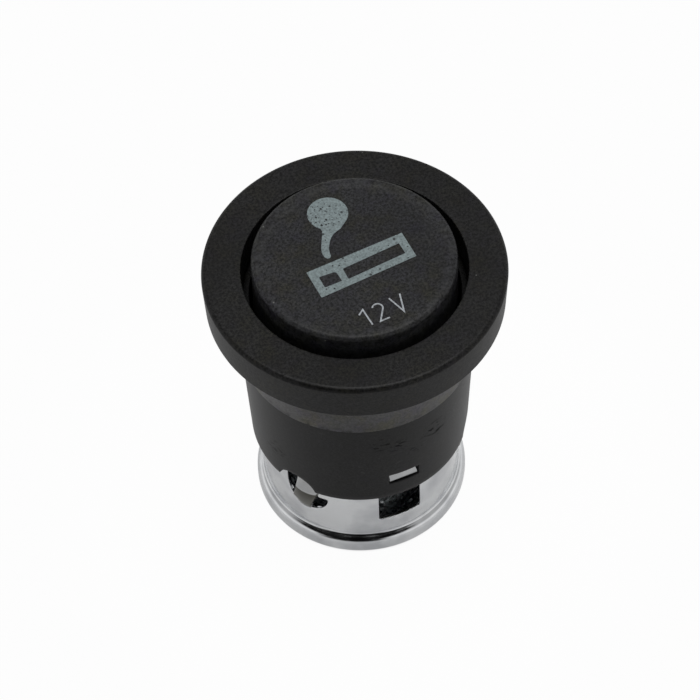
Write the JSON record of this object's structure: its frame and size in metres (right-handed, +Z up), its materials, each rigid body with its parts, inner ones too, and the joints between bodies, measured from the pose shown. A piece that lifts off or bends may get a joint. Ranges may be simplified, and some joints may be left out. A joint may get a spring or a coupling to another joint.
{
  "type": "car cigarette lighter",
  "caption": "Push-in car cigarette lighter with a sprung button in a wide ring, a tapered barrel and a chromed shell round its heating cup.",
  "frame": {"origin": "centre of the shell's open mouth, on the surface that the lighter stands on", "axes": "+Z up along the lighter's axis towards the button; +X to the right of the printed sign, and a latch window faces -Y"},
  "size_m": [0.0292, 0.0292, 0.0344],
  "materials": {
    "ring_plastic": "fine spark-eroded grain",
    "barrel_plastic": "satin",
    "chrome_plate": "bright",
    "turned_brass": "turned",
    "spring_steel": "drawn wire",
    "button_plastic": "fine grain",
    "core_plastic": "moulded phenolic",
    "zinc_steel": "zinc plated",
    "silicone": "soft matte",
    "steatite": "unglazed",
    "mica": "sheet",
    "cup_steel": "drawn, heat stained",
    "ribbon_alloy": "oxidised"
  },
  "bodies": {
    "sleeve": {"bezel_ring": "ring_plastic", "barrel": "barrel_plastic", "shell": "chrome_plate", "guide_bush": "turned_brass", "return_spring": "spring_steel"},
    "plunger": {"button_cap": "button_plastic", "button_core": "core_plastic", "core_insert": "turned_brass", "lock_washer": "zinc_steel", "stem": "zinc_steel", "spring_seat": "zinc_steel", "stop_buffer": "silicone", "stop_washer": "zinc_steel", "upper_insulator": "steatite", "upper_mica": "mica", "heating_cup": "cup_steel", "lower_mica": "mica", "lower_insulator": "steatite", "contact_washer": "turned_brass", "heating_coil": "ribbon_alloy", "coil_rivet": "zinc_steel"}
  },
  "joints": [
    {"name": "push_in", "type": "slide", "parent": "sleeve", "child": "plunger", "axis": [0, 0, -1], "range_m": [0, 0.0055], "stiffness_N_per_m": 650, "springref_m": -0.0036, "deforming": ["return_spring"]}
  ]
}
